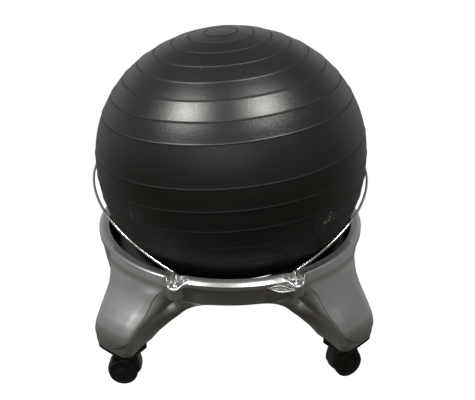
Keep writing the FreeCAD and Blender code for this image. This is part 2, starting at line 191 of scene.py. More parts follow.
def ramp(nt, src, stops, kind="LINEAR"):
    r = nt.nodes.new("ShaderNodeValToRGB")
    r.color_ramp.interpolation = kind
    els = r.color_ramp.elements
    while len(els) > 1:
        els.remove(els[-1])
    els[0].position, els[0].color = stops[0][0], stops[0][1]
    for p, c in stops[1:]:
        e = els.new(p)
        e.color = c
    nt.links.new(src, r.inputs["Fac"])
    return r


def rng(nt, src, a, b, c, d):
    m = nt.nodes.new("ShaderNodeMapRange")
    m.inputs["From Min"].default_value = a
    m.inputs["From Max"].default_value = b
    m.inputs["To Min"].default_value = c
    m.inputs["To Max"].default_value = d
    nt.links.new(src, m.inputs["Value"])
    return m


def bump(nt, height, strength, dist, prev=None):
    b = nt.nodes.new("ShaderNodeBump")
    b.inputs["Strength"].default_value = strength
    b.inputs["Distance"].default_value = dist
    nt.links.new(height, b.inputs["Height"])
    if prev is not None:
        nt.links.new(prev.outputs["Normal"], b.inputs["Normal"])
    return b


def g(v, a=1.0):
    return (v, v, v, a)


def mat_base():
    # silver-grey moulded plastic with a fine metal fleck under a satin skin
    m, nt, b = material("base_silver_grey")
    big = noise(nt, 9.0, 3.0, 0.55)
    fine = noise(nt, 900.0, 2.0, 0.6)
    fleck = noise(nt, 2600.0, 1.0, 0.5)
    col = ramp(nt, big.outputs["Fac"], [(0.30, (0.385, 0.402, 0.397, 1)), (0.70, (0.430, 0.448, 0.443, 1))])
    mix = nt.nodes.new("ShaderNodeMixRGB")
    mix.blend_type = "MULTIPLY"
    mix.inputs["Fac"].default_value = 0.5
    fr = ramp(nt, fleck.outputs["Fac"], [(0.32, g(0.72)), (0.68, g(1.25))])
    nt.links.new(col.outputs["Color"], mix.inputs["Color1"])
    nt.links.new(fr.outputs["Color"], mix.inputs["Color2"])
    nt.links.new(mix.outputs["Color"], b.inputs["Base Color"])
    rr = rng(nt, big.outputs["Fac"], 0.3, 0.7, 0.31, 0.37)
    nt.links.new(rr.outputs["Result"], b.inputs["Roughness"])
    b.inputs["Metallic"].default_value = 0.85
    b.inputs["Coat Weight"].default_value = 0.15
    b.inputs["Coat Roughness"].default_value = 0.30
    bp = bump(nt, fine.outputs["Fac"], 0.16, 0.0003)
    wave = noise(nt, 28.0, 2.0, 0.5)
    bp2 = bump(nt, wave.outputs["Fac"], 0.05, 0.002, bp)
    nt.links.new(bp2.outputs["Normal"], b.inputs["Normal"])
    return m


def mat_well_painted_shade():
    # painted shade: a near-black material put down in the well between the flange and the cup, standing in for the
    # shadow there
    m, nt, b = material("base_well_painted_shade")
    big = noise(nt, 30.0, 3.0, 0.55)
    fine = noise(nt, 700.0, 2.0, 0.6)
    col = ramp(nt, big.outputs["Fac"], [(0.30, (0.016, 0.017, 0.017, 1)), (0.70, (0.026, 0.028, 0.027, 1))])
    nt.links.new(col.outputs["Color"], b.inputs["Base Color"])
    rr = rng(nt, fine.outputs["Fac"], 0.3, 0.7, 0.62, 0.80)
    nt.links.new(rr.outputs["Result"], b.inputs["Roughness"])
    b.inputs["Specular IOR Level"].default_value = 0.25
    bp = bump(nt, fine.outputs["Fac"], 0.25, 0.0003)
    nt.links.new(bp.outputs["Normal"], b.inputs["Normal"])
    return m


def mat_ball():
    # black stretched vinyl with a fine frosted grain
    m, nt, b = material("ball_black_vinyl")
    grain = noise(nt, 430.0, 3.0, 0.72)
    cloud = noise(nt, 6.0, 3.0, 0.55)
    col = ramp(nt, cloud.outputs["Fac"], [(0.32, (0.0062, 0.0060, 0.0054, 1)), (0.70, (0.0090, 0.0088, 0.0082, 1))])
    # painted shade: the ribs' lines are coloured blacker than the skin between them, and are also made duller
    at = nt.nodes.new("ShaderNodeAttribute")
    at.attribute_name = "rib_line_painted_shade"
    mix = nt.nodes.new("ShaderNodeMixRGB")
    nt.links.new(at.outputs["Fac"], mix.inputs["Fac"])
    nt.links.new(col.outputs["Color"], mix.inputs["Color1"])
    mix.inputs["Color2"].default_value = (0.0008, 0.0008, 0.0007, 1)
    nt.links.new(mix.outputs["Color"], b.inputs["Base Color"])
    rr = rng(nt, grain.outputs["Fac"], 0.28, 0.72, 0.26, 0.41)
    dull = rng(nt, at.outputs["Fac"], 0.0, 1.0, 0.0, 0.40)
    add = nt.nodes.new("ShaderNodeMath")
    add.operation = "ADD"
    nt.links.new(rr.outputs["Result"], add.inputs[0])
    nt.links.new(dull.outputs["Result"], add.inputs[1])
    # the skin is duller low down, where it rubs in the cup
    tc = nt.nodes.new("ShaderNodeTexCoord")
    sep = nt.nodes.new("ShaderNodeSeparateXYZ")
    nt.links.new(tc.outputs["Object"], sep.inputs[0])
    worn = rng(nt, sep.outputs["Z"], 0.24, 0.40, 0.32, 0.0)
    add2 = nt.nodes.new("ShaderNodeMath")
    add2.operation = "ADD"
    nt.links.new(add.outputs[0], add2.inputs[0])
    nt.links.new(worn.outputs["Result"], add2.inputs[1])
    nt.links.new(add2.outputs[0], b.inputs["Roughness"])
    b.inputs["Specular IOR Level"].default_value = 0.5
    bp = bump(nt, grain.outputs["Fac"], 0.34, 0.0009)
    nt.links.new(bp.outputs["Normal"], b.inputs["Normal"])
    return m


def mat_black(name, lo, hi, r0, r1, grain_scale=900.0, grain=0.12, spec=0.5):
    m, nt, b = material(name)
    n1 = noise(nt, grain_scale, 2.0, 0.55)
    n2 = noise(nt, 22.0, 3.0, 0.5)
    col = ramp(nt, n2.outputs["Fac"], [(0.3, (lo, lo * 0.98, lo * 0.94, 1)), (0.7, (hi, hi * 0.98, hi * 0.94, 1))])
    nt.links.new(col.outputs["Color"], b.inputs["Base Color"])
    rr = rng(nt, n2.outputs["Fac"], 0.3, 0.7, r0, r1)
    nt.links.new(rr.outputs["Result"], b.inputs["Roughness"])
    b.inputs["Specular IOR Level"].default_value = spec
    bp = bump(nt, n1.outputs["Fac"], grain, 0.0003)
    nt.links.new(bp.outputs["Normal"], b.inputs["Normal"])
    return m


def mat_metal(name, colour, r0, r1, scratch=(40.0, 40.0, 900.0), strength=0.02):
    m, nt, b = material(name)
    n1 = noise(nt, 1.0, 2.0, 0.5, stretch=scratch)
    n2 = noise(nt, 60.0, 3.0, 0.6)
    c0 = tuple(c * 0.90 for c in colour) + (1,)
    c1 = tuple(min(1.0, c * 1.06) for c in colour) + (1,)
    col = ramp(nt, n2.outputs["Fac"], [(0.35, c0), (0.65, c1)])
    nt.links.new(col.outputs["Color"], b.inputs["Base Color"])
    rr = rng(nt, n1.outputs["Fac"], 0.3, 0.7, r0, r1)
    nt.links.new(rr.outputs["Result"], b.inputs["Roughness"])
    b.inputs["Metallic"].default_value = 1.0
    bp = bump(nt, n1.outputs["Fac"], strength, 0.0002)
    nt.links.new(bp.outputs["Normal"], b.inputs["Normal"])
    return m


M_base = mat_base()
M_well_painted_shade = mat_well_painted_shade()
M_ball = mat_ball()
M_foot = mat_black("foot_black_plastic", 0.005, 0.008, 0.50, 0.62, spec=0.25)
M_hood = mat_black("caster_hood_black", 0.006, 0.009, 0.20, 0.28, 700.0, 0.04)
M_wheel = mat_black("caster_wheel_black", 0.009, 0.013, 0.30, 0.40, 800.0, 0.08)
M_zinc = mat_metal("bright_zinc_rod", (0.86, 0.86, 0.84), 0.16, 0.26)
M_nut = mat_metal("bright_zinc_nut", (0.84, 0.85, 0.86), 0.18, 0.28, (300.0, 300.0, 300.0), 0.05)
M_steel = mat_metal("axle_steel", (0.60, 0.60, 0.60), 0.28, 0.38)
M_plug = mat_black("plug_black_plastic", 0.020, 0.028, 0.45, 0.55)

# ------------------------------------------------------------------ the ball
BC = Vector((2.0, 0.0, 384.0)) * MM
BAX = Vector((-0.0769, 0.0634, 0.995)).normalized()
HW, HH, R1 = 260.0, 236.5, 226.0
OH, OQ = HW - R1, HH - R1
OK = (OH ** 2 - OQ ** 2) / (2 * OQ)
R2 = HH + OK
OANG = atan2(OK, OH)


LOW_FULL = 6.0


def oval(t):
    """point and outward normal of the ball's half section, t the normal's slope above level"""
    if t >= 0:
        if t <= OANG:
            p = (OH + R1 * cos(t), R1 * sin(t))
        else:
            p = (R2 * cos(t), -OK + R2 * sin(t))
        return p, (cos(t), sin(t))
    # the lower half is fuller
    a = -t
    b_, a_, c_ = (HW - HH) / 2, (HW + HH) / 2 + LOW_FULL, -LOW_FULL
    reach = a_ + b_ * cos(2 * a) + c_ * cos(4 * a)
    turn = -2 * b_ * sin(2 * a) - 4 * c_ * sin(4 * a)
    return (reach * cos(a) - turn * sin(a), -reach * sin(a) - turn * cos(a)), (cos(a), -sin(a))


def t_of_lat(lat):
    """turning angle whose height is half_height * sin(lat)"""
    z = HH * sin(radians(abs(lat)))
    if z <= R1 * sin(OANG):
        a = asin(z / R1)
    else:
        a = asin(min(1.0, (z + OK) / R2))
    return a if lat >= 0 else -a


rib_ts = [t_of_lat(a) for a in (83.1, 76.3, 69.0, 60.7, 52.5, 43.6, 34.6, 25.1, 6.6)]
rib_ts += [radians(a) for a in (-2.7, -10.4, -18.2, -28.8, -41.0, -54.0, -66.0, -77.0)]
RIB_H, RIB_S = 0.62, 0.95          # mm: height and half width of the raised ribs
SWELL_H, SWELL_S = 0.24, 4.4      # the skin rises gently towards each rib


def arc_len_table():
    ts = np.linspace(-pi / 2, pi / 2, 20001)
    P = np.array([oval(t)[0] for t in ts])
    s = np.concatenate([[0], np.cumsum(np.hypot(*np.diff(P, axis=0).T))])
    return ts, s


ts_tab, s_tab = arc_len_table()
rib_s = np.interp(rib_ts, ts_tab, s_tab)
samples = set()
S_total = s_tab[-1]
for s in np.linspace(0, S_total, 150):
    samples.add(round(float(s), 3))
for r in rib_s:
    for d in (-11, -8.5, -6, -4.2, -3.2, -2.5, -1.9, -1.4, -1.0, -0.65, -0.3, 0.0, 0.3, 0.65, 1.0, 1.4, 1.9, 2.5, 3.2, 4.2, 6, 8.5, 11):
        samples.add(round(float(r + d), 3))
samples = sorted(s for s in samples if 0 <= s <= S_total)
kept = [samples[0]]
for s in samples[1:]:
    near = min(abs(s - r) for r in rib_s)
    if s - kept[-1] > (0.2 if near < 12.0 else 2.0):
        kept.append(s)
kept[-1] = S_total
prof = []
rib_shade_val = []
s_low = float(np.interp(radians(-20.0), ts_tab, s_tab))
for s in kept:
    t = float(np.interp(s, s_tab, ts_tab))
    (r, z), (nr, nz) = oval(t)
    off = -0.20
    for q in rib_s:
        d = s - q
        low = 0.45 if q < s_low else 1.0
        off += low * (RIB_H * np.exp(-0.5 * (d / RIB_S) ** 2) + SWELL_H * np.exp(-0.5 * (d / SWELL_S) ** 2))
        # the skin swells a little between the ribs
    prof.append((max(0.0, (r + off * nr)) * MM, (z + off * nz) * MM))
    rib_shade_val.append(float(max((0.4 if q < s_low else 1.0) * np.exp(-0.5 * ((s - q) / 0.85) ** 2) for q in rib_s)))
prof[0] = (0.0, prof[0][1])
prof[-1] = (0.0, prof[-1][1])
v, f = revolve(prof, 256, BC, BAX, ref=(1, 0, 0))
ball = new_mesh_object("ball_skin", v, f, M_ball)
# the rib mask per vertex, which darkens the rib lines as painted shade in the ball's material
line = []
for (r, h), q in zip(prof, rib_shade_val):
    line.extend([q] * (1 if r < 1e-9 else 256))
ball.data.attributes.new("rib_line_painted_shade", "FLOAT", "POINT").data.foreach_set("value", line)
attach(ball, "ball")
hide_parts("exercise_ball")

# ------------------------------------------------------- the moulded base
LEG_Z = [87, 98, 113, 128, 143, 158, 173, 190, 205, 215, 224]
LEG_U = [329.6, 331.5, 331.8, 328.8, 320.5, 307.5, 293.6, 279.6, 269.6, 264.6, 262.0]
LEG_W = [43.2, 45.3, 47.0, 49.5, 53.5, 60.5, 69, 77.5, 82.5, 84, 85]
LEG_R = [15, 16, 18.5, 22, 28, 35, 42, 45, 44, 42, 38]
ARCH_Z = [87, 98, 113, 128, 143, 157, 174, 181.5, 185.5, 187.8, 189.2, 190.0]
ARCH_A = [6.5, 8.3, 10.9, 13.9, 17.0, 20.2, 24.2, 27.0, 29.2, 31.2, 33.2, 36.0]
EDGE_Z = [87, 96, 105, 112, 117, 124, 132, 142, 155, 169, 184, 196, 204.6, 209, 214, 224]
EDGE_V = [36.0, 38.0, 39.6, 41.0, 42.4, 45.0, 46.8, 49.0, 52.0, 54.6, 56.0, 58.6, 63.2, 66.6, 67.4, 68.0]
PANEL_LOW = [(0, 99.4), (10, 99.7), (18, 101.0), (26, 105.2), (34.7, 110.0), (38.6, 113.6), (41.6, 117.5)]
LUG = (109.0, 234.7)
LUG_R = 15.4
LUG_D = hypot(*LUG)
LUG_AL = 45.0 - degrees(atan2(LUG[0], LUG[1]))       # from the leg's own line
A_JOIN = 36.0
TOP_Z = 224.0
nA, nB1, nB2, nB3 = 12, 56, 14, 22


def band_r(z):
    return 251.0 + 5.0 * np.clip((z - 190.0) / 33.0, 0, 1.1)


def smax(a, b, k):
    h = np.maximum(k - np.abs(a - b), 0.0)
    return np.maximum(a, b) + (h * h / (4 * k) if k > 1e-6 else 0.0)


def outline(z):
    """half outline at height z from the nose's middle out: arrays u, v, and running length"""
    U, W, rho = (float(pchip(LEG_Z, t, z)) for t in (LEG_U, LEG_W, LEG_R))
    if z >= 190.0:
        a_end, fl_a = 45.0, 30.0
    else:
        a_end = float(pchip(ARCH_Z, ARCH_A, z))
        fl_a = a_end
    n = 40
    crown = 2.2
    P = []
    for i in range(n):
        v_ = (W - rho) * i / n
        P.append((U - crown * (v_ / max(W - rho, 1)) ** 2 * 0.6, v_))
    for i in range(n + 1):
        t = (pi / 2) * i / n
        P.append((U - rho + rho * cos(t) - crown * 0.6 * cos(t) ** 2, W - rho + rho * sin(t)))
    e = (251.0 * cos(radians(fl_a)), 251.0 * sin(radians(fl_a)))
    for i in range(1, 81):
        t = i / 80.0
        # the flank hollows a little on its way to the band
        bow = -1.2 * sin(pi * t)
        P.append((U - rho + (e[0] - U + rho) * t, W + (e[1] - W) * t + bow))
    if z >= 190.0:
        for i in range(1, 61):
            t = radians(30.0 + 15.0 * i / 60.0)
            P.append((251.0 * cos(t), 251.0 * sin(t)))
    P = np.array(P)
    # even spacing
    L = np.concatenate([[0], np.cumsum(np.hypot(*np.diff(P, axis=0).T))])
    m = int(L[-1] / 0.5)
    s = np.linspace(0, L[-1], m)
    P = np.stack([np.interp(s, L, P[:, 0]), np.interp(s, L, P[:, 1])], -1)
    # union with the round band
    k = 24.0 * float(sstep(118, 165, z)) + 0.001
    r = np.hypot(P[:, 0], P[:, 1])
    bz = float(band_r(z))
    R = smax(r, np.full_like(r, bz), k)
    # away from the leg the band keeps its own radius
    R = R - (float(smax(251.0, bz, k)) - bz) * (1 - sstep(251.0, bz + 9.0, r))
    # under the lip the leg's back follows the ring's own curve
    cap = U + 0.8 + 10.0 * float(sstep(0.0, 1.0, (218.0 - z) / 44.0))
    R = -smax(-R, np.full_like(R, -cap), 3.0)
    if z < 190.0:
        # the arch's edge stays on the band's own radius
        near = np.clip((s[-1] - s) / 14.0, 0, 1)
        R = band_r(z) * (1 - near) + R * near if k > 1 else R
        R = np.maximum(R, r)
    P = P * (R / np.maximum(r, 1e-6))[:, None]
    # soften
    sg = 3.2
    w = np.exp(-0.5 * ((np.arange(-16, 17) * 0.5) / sg) ** 2)
    w /= w.sum()
    mir = P[1:20][::-1] * np.array([1, -1])
    tail_d = P[-1] - P[-2]
    tail = np.array([P[-1] + tail_d * (i + 1) for i in range(16)])
    if z >= 190.0:
        # beyond the front line the outline mirrors
        c45, s45 = cos(radians(45)), sin(radians(45))
        q = P[-18:-1][::-1]
        # reflect in the line at 45 degrees
        tail = np.stack([q[:, 1], q[:, 0]], -1)[:16]
    Q = np.vstack([mir, P, tail])
    Qs = np.stack([np.convolve(Q[:, 0], w, mode="same"), np.convolve(Q[:, 1], w, mode="same")], -1)
    Ps = Qs[len(mir):len(mir) + len(P)]
    Ps[0, 1] = 0.0
    if z < 190.0:
        ends = np.clip((s[-1] - s) / 6.0, 0, 1)[:, None]
        Ps = P * (1 - ends) + Ps * ends
    P = Ps
    L = np.concatenate([[0], np.cumsum(np.hypot(*np.diff(P, axis=0).T))])
    return P[:, 0], P[:, 1], L


def lug_out(alpha_deg, r_base, rl, k):
    """how far out the union of the band and the lug's round reaches along each bearing"""
    al = np.radians(np.asarray(alpha_deg, float))
    lx, ly = LUG_D * cos(radians(LUG_AL)), LUG_D * sin(radians(LUG_AL))
    lo = np.array(np.broadcast_to(r_base, al.shape), float).copy()
    best = lo.copy()
    rr = np.linspace(0, 26, 261)
    R = lo[:, None] + rr[None, :]
    X = R * np.cos(al)[:, None]
    Y = R * np.sin(al)[:, None]
    f1 = R - lo[:, None]
    f2 = np.hypot(X - lx, Y - ly) - rl
    h = np.maximum(k - np.abs(f1 - f2), 0) / k
    f = np.minimum(f1, f2) - h * h * k / 4
    # outermost crossing from inside to outside
    for i in range(len(al)):
        neg = np.where(f[i] <= 0)[0]
        if len(neg):
            j = neg[-1]
            if j + 1 < len(rr):
                t = f[i, j] / (f[i, j] - f[i, j + 1] + 1e-12)
                best[i] = lo[i] + rr[j] + t * (rr[j + 1] - rr[j])
            else:
                best[i] = lo[i] + rr[j]
    return best


def column_params(has_lug):
    """fractions of the joining stretch, closer together beside the lug"""
    if not has_lug:
        return np.linspace(0, 1, nB1 + 1)
    a = np.linspace(A_JOIN, 16.0, 2001)
    w = 1.0 + 2.2 * np.exp(-((a - (LUG_AL + 3.4)) / 1.1) ** 2) + 2.2 * np.exp(-((a - (LUG_AL - 3.4)) / 1.1) ** 2)
    c = np.concatenate([[0], np.cumsum((w[1:] + w[:-1]) / 2)])
    c /= c[-1]
    return np.interp(np.linspace(0, 1, nB1 + 1), c, np.linspace(0, 1, 2001))


def panel_edge():
    """the raised panel's edge as (length along the outline, height) pairs, from the bottom middle to the top"""
    pts = []
    for v_, z in PANEL_LOW:
        U_, V_, L_ = outline(z)
        pts.append((float(np.interp(v_, V_[:200], L_[:200])), z))
    for z in (121, 124, 128, 132, 137, 142, 148, 155, 162, 169, 176, 184, 190, 196, 200, 204.6, 207, 209, 214, 219, 224, 240):
        U_, V_, L_ = outline(min(z, 224))
        v_ = float(pchip(EDGE_Z, EDGE_V, min(z, 224)))
        k = int(np.argmax(V_ >= v_)) if (V_ >= v_).any() else len(V_) - 1
        pts.append((float(L_[k]), z))
    return np.array(pts)


PEDGE = panel_edge()


def panel_dist(s, z):
    """signed distance from the panel's edge, inside positive"""
    P = np.stack([np.ravel(s), np.ravel(z)], -1)
    a, b = PEDGE[:-1], PEDGE[1:]
    d = b - a
    t = np.clip(((P[:, None] - a[None]) * d[None]).sum(-1) / (d ** 2).sum(-1)[None], 0, 1)
    q = a[None] + t[..., None] * d[None]
    dist = np.sqrt(((P[:, None] - q) ** 2).sum(-1)).min(1)
    zb = np.interp(P[:, 0], PEDGE[:, 0], PEDGE[:, 1])
    inside = (P[:, 1] > zb) & (P[:, 0] < PEDGE[-1, 0] + 50)
    sd = np.where(inside, dist, -dist)
    return sd.reshape(np.shape(s))


def patch(has_lug, has_pad):
    """one half leg with its share of the ring, in the leg's own u, v axes: list of rows, each (n, 3)"""
    fB1 = column_params(has_lug)
    rows = []
    zs_top = [224, 222.6, 221, 218.5, 216, 213.5, 211, 208.5, 206, 204, 202.6, 201.6, 201.0, 200.4, 199.8, 199.2, 198.6, 197.6, 196, 194, 192.2, 190.8, 190.0]
    zs_low = [189.75, 189.3, 188.6, 187.6, 186.3, 184.7, 182.8, 180.6, 178.2, 175.6, 173, 170.3, 167.5, 164.6, 161.6, 158.5, 155.3, 152.0, 148.6,
              145.1, 141.6, 138.2, 135, 132, 129.2, 126.6, 124.2, 122, 120, 118.3, 117.1, 116.1, 115.2, 114.4, 113.6, 112.8, 112, 111.2, 110.4, 109.6,
              108.8, 108, 107.2, 106.4, 105.6, 104.8, 104, 103.2, 102.4, 101.7, 101.0, 100.4, 99.8, 99.2, 98.6, 98, 97.3, 96.4, 95.2, 93.8, 92.2,
              90.6, 89.2, 88.2, 87.5, 87.1, 87.0]
    for z in zs_top + zs_low:
        U_, V_, L_ = outline(z)
        al = np.degrees(np.arctan2(V_, U_))
        v_l = float(pchip(EDGE_Z, EDGE_V, z))
        k = int(np.argmax(V_ >= v_l)) if (V_ >= v_l).any() else len(V_) - 1
        s1 = float(L_[k])
        if z >= 190.0:
            s0 = float(np.interp(A_JOIN, al[len(al) // 3:], L_[len(al) // 3:]))
            sA = float(L_[-1])
        else:
            s0 = float(L_[-1])
            sA = None
        hw = 4.0
        hw1 = min(hw, (s0 - s1) * 0.35)
        b1 = s0 + (s1 + hw1 - s0) * fB1
        b2 = np.linspace(s1 + hw1, s1 - hw, nB2 + 1)
        b3 = (s1 - hw) * (1 - np.linspace(0, 1, nB3 + 1))
        s = np.concatenate([b1, b2[1:], b3[1:]])
        if sA is not None:
            s = np.concatenate([np.linspace(sA, s0, nA + 1)[:-1], s])
        u = np.interp(s, L_, U_)
        v_ = np.interp(s, L_, V_)
        # plan normal
        du = np.gradient(U_, L_)
        dv = np.gradient(V_, L_)
        tu, tv = np.interp(s, L_, du), np.interp(s, L_, dv)
        nn = np.hypot(tu, tv)
        nu, nv = tv / nn, -tu / nn
        sdv = panel_dist(s, np.full_like(s, z))
        fade = float(1 - sstep(196.0, 216.0, z))
        up = fade * (1.9 * sstep(-0.5, 1.3, sdv) - 0.45 * np.exp(-((sdv + 1.1) / 0.75) ** 2)) + (1 - fade) * 0.4
        u = u + nu * up
        v_ = v_ + nv * up
        if has_lug and z > 190.5:
            gl = float(sstep(198.8, 202.6, z)) * 1.0
            if gl > 0:
                a_ = np.degrees(np.arctan2(v_, u))
                r_ = np.hypot(u, v_)
                sel = (a_ > LUG_AL - 10.5) & (a_ < LUG_AL + 10.5)
                R_ = r_.copy()
                if sel.any():
                    R_[sel] = lug_out(a_[sel], r_[sel], LUG_R - 0.7, 11.0)
                R_ = r_ + (R_ - r_) * gl
                u, v_ = u * R_ / r_, v_ * R_ / r_
        u[-1], v_[-1] = u[-1], 0.0
        if sA is not None:
            m_ = (u[0] + v_[0]) / 2
            u[0] = v_[0] = m_
        rows.append(np.stack([u, v_, np.full_like(u, z)], -1))
    top_rows = rows[:len(zs_top)]
    low_rows = rows[len(zs_top):]
    # the lip, the flange, the inner wall and the cup, above the skirt's top row
    first = top_rows[0]
    a_ = np.arctan2(first[:, 1], first[:, 0])
    r_sk = np.hypot(first[:, 0], first[:, 1])
    ad = np.degrees(a_)
    LIP = 259.0
    Rl = np.full_like(r_sk, LIP)
    if has_lug:
        sel = (ad > LUG_AL - 10.5) & (ad < LUG_AL + 10.5)
        Rl[sel] = lug_out(ad[sel], np.full(sel.sum(), LIP), LUG_R, 12.0)
    lx, ly = LUG_D * cos(radians(LUG_AL)), LUG_D * sin(radians(LUG_AL))

    def sink(r, alpha):
        """0 on the ring's top, 1 on the floor of the lug's pocket"""
        if not has_lug:
            return np.zeros_like(alpha)
        x, y = r * np.cos(alpha), r * np.sin(alpha)
        # along the lug's own radius, and across it (positive towards the front line)
        ca, sa = cos(radians(LUG_AL)), sin(radians(LUG_AL))
        rad = (x - lx) * ca + (y - ly) * sa
        lat = -(x - lx) * sa + (y - ly) * ca
        inner = np.minimum(rad, 0.0)
        # wide and easy towards the front, tighter beside the leg
        sf = 1 - sstep(5.0, 25.0, np.hypot(np.maximum(lat, 0), inner))
        sl = 1 - sstep(8.5, 16.0, np.hypot(np.minimum(lat, 0), 0.72 * inner))
        return np.where(lat >= 0, sf, sl)

    up_rows = []
    s_rim = sink(Rl - 2.0, a_)
    w_pad = np.exp(-0.5 * ((ad - 27.4) / 2.4) ** 2) if has_pad else np.zeros_like(ad)
    Z = 239.0 - 12.3 * s_rim
    on_leg = sstep(255.8, 259.6, r_sk)
    soft = 12.0 - 6.0 * on_leg
    ax = soft * (1 - s_rim) + 5.2 * s_rim + 6.4 * w_pad
    az_ = soft * (1 - s_rim) + 4.6 * s_rim
    z_sk = 224.0 - 2.5 * s_rim
    # lower the skirt's last rows where the lug's rim is lower
    for row in top_rows:
        zz = row[:, 2]
        t = np.clip((zz - 203.0) / 21.0, 0, 1)
        row[:, 2] = zz - 2.5 * s_rim * t
    # the rolled lip, from its underside over the edge to the flat
    und = [(1.9, 0.12), (1.0, 0.30), (0.35, 0.75)]
    roll = [0.0, 10.0, 20.0, 30.0, 39.0, 47.0, 55.0, 63.0, 71.0, 80.0, 90.0]
    lipz = []
    for back, dz in und:
        lipz.append((Rl - back, z_sk + dz))
    for th in roll:
        c_, s_ = cos(radians(th)), sin(radians(th))
        lipz.append((Rl - ax * (1 - c_), np.maximum(Z - az_ * (1 - s_), z_sk + 1.2)))
    for R_, zz in lipz:
        # on a leg the lip runs straight on into the leg's back
        t_ = (zz - z_sk) / 9.5
        back = np.where(t_ < 1, r_sk + 0.02 - (r_sk - 259.2) * t_, 259.2 - 3.0 * (zz - z_sk - 9.5))
        R_ = smax(R_, back, 1.4)
        up_rows.append(np.stack([R_ * np.cos(a_), R_ * np.sin(a_), zz], -1))
    # the flange, by radius
    r_in = 239.9
    nf = 13
    R_f = Rl - ax
    for i in range(1, nf + 1):
        t = i / nf
        R_ = R_f + (np.minimum(r_in, R_f - 0.6) - R_f) * t
        sk = sink(R_, a_)
        zz = 239.0 - 14.6 * sk
        # hold the rim's own height just inside it
        near = 1 - sstep(0.0, 0.34, t)
        zz = zz * (1 - near) + np.maximum(zz, Z) * near
        zz = zz - 0.25 * t
        up_rows.append(np.stack([R_ * np.cos(a_), R_ * np.sin(a_), zz], -1))
    # the inner wall, the floor and the cup
    inner = [(239.2, 238.1), (238.8, 237.2), (238.5, 235.4), (238.0, 229.5), (237.4, 221.5), (236.8, 213.0), (236.2, 205.0), (235.4, 200.2), (233.8, 197.6),
             (230.6, 196.6), (222, 196.4), (212, 196.4), (203.5, 196.5), (199.5, 197.0), (197.0, 198.4), (195.2, 200.2), (193.4, 201.2), (191.6, 201.4),
             (189.4, 200.6), (186.5, 198.4), (183, 195.8), (179, 192.6), (172.5, 188.0), (165, 183.4), (157.5, 179.0),
             (150, 174.9), (142.5, 171.1), (135, 167.7), (129, 165.3), (126.6, 164.3), (125.9, 163.2), (125.8, 161.6)]
    z_first = up_rows[-1][:, 2]
    for k, (r, z) in enumerate(inner):
        zz = np.full_like(a_, z)
        # below a pocket the wall begins lower
        zz = np.minimum(zz, z_first - 0.3 * (k + 1)) if k < 6 else zz
        up_rows.append(np.stack([r * np.cos(a_), r * np.sin(a_), zz], -1))
    rows_out = up_rows[::-1] + top_rows
    # keep the seams exact
    for row in rows_out:
        row[-1, 1] = 0.0
        m_ = (row[0, 0] + row[0, 1]) / 2
        row[0, 0] = row[0, 1] = m_
    for row in low_rows:
        row[-1, 1] = 0.0
    return rows_out, low_rows


def build_base():
    verts, faces = [], []
    made = {}
    for key in ((True, False), (True, True), (False, False)):
        made[key] = patch(*key)
    legs = {"front_left": -135.0, "front_right": -45.0, "rear_left": 135.0, "rear_right": 45.0}
    for nm, az in legs.items():
        c, s = cos(radians(az)), sin(radians(az))
        for side in (1, -1):
            # is this half on the front or rear (the bars' side)?
            dirx, diry = -s * side, c * side
            has_lug = abs(diry) > 0 and (np.sign(diry) == np.sign(s))
            top, low = made[(bool(has_lug), bool(has_lug) and nm == "front_right")]
            nt_, nl_ = len(top), len(low)
            wt, wl = top[0].shape[0], low[0].shape[0]
            base = len(verts)

            def put(row):
                for u, v_, z in row:
                    v2 = v_ * side
                    verts.append(((u * c - v2 * s) * MM, (u * s + v2 * c) * MM, z * MM))
            for row in top:
                put(row)
            b2 = len(verts)
            for row in low:
                put(row)
            flip = side < 0
            faces.extend(grid_faces(nt_, wt, base=base, flip=flip))
            # join the last full row (from the join on) to the first low row
            off = wt - wl
            for j in range(wl - 1):
                a = base + (nt_ - 1) * wt + off + j
                b = a + 1
                d = b2 + j
                e = b2 + j + 1
                faces.append((a, d, e, b) if flip else (a, b, e, d))
            faces.extend(grid_faces(nl_, wl, base=b2, flip=flip))
    return verts, faces


bv, bf = build_base()
base = new_mesh_object("base_shell", bv, bf, M_base, weld=2e-5)
md = base.modifiers.new("wall", "SOLIDIFY")
md.thickness = 0.0031
md.offset = -1.0
md.use_even_offset = True
md.use_quality_normals = True
bake_modifiers(base, sharp=48)
# painted shade: the well between the ring's flange and the cup gets the near-black well material
base.data.materials.append(M_well_painted_shade)
for p in base.data.polygons:
    c = p.center
    rr_ = hypot(c.x, c.y)
    if rr_ < 0.2398 and 0.150 < c.z < 0.2387:
        inward = -(p.normal.x * c.x + p.normal.y * c.y) / max(rr_, 1e-6)
        if p.normal.z > 0.05 or inward > 0.3:
            p.material_index = 1
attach(base, "base")
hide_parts("seat_ring", "leg_front_left", "leg_front_right", "leg_rear_left", "leg_rear_right")

# ------------------------------------------------------------ CAD nodes kept
def paint(node, mat):
    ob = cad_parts[node]
    ob.data.materials.clear()
    ob.data.materials.append(mat)
    for p in ob.data.polygons:
        p.material_index = 0


QUADS = ("front_left", "front_right", "rear_left", "rear_right")
for q in QUADS:
    paint("foot_insert_" + q, M_foot)
    paint("stem_socket_" + q, M_steel)
    paint("caster_%s_stem" % q, M_steel)
    paint("caster_%s_axle" % q, M_steel)


# ------------------------------------------------------------------ casters
LEG_AZ = {"front_left": -135.0, "front_right": -45.0, "rear_left": 135.0, "rear_right": 45.0}
TRAIL_AZ = {"front_left": 174.7, "front_right": 24.2, "rear_left": 118.0, "rear_right": 66.0}
STEM_U, TRAIL, WHEEL_R = 284.0, 10.0, 27.8


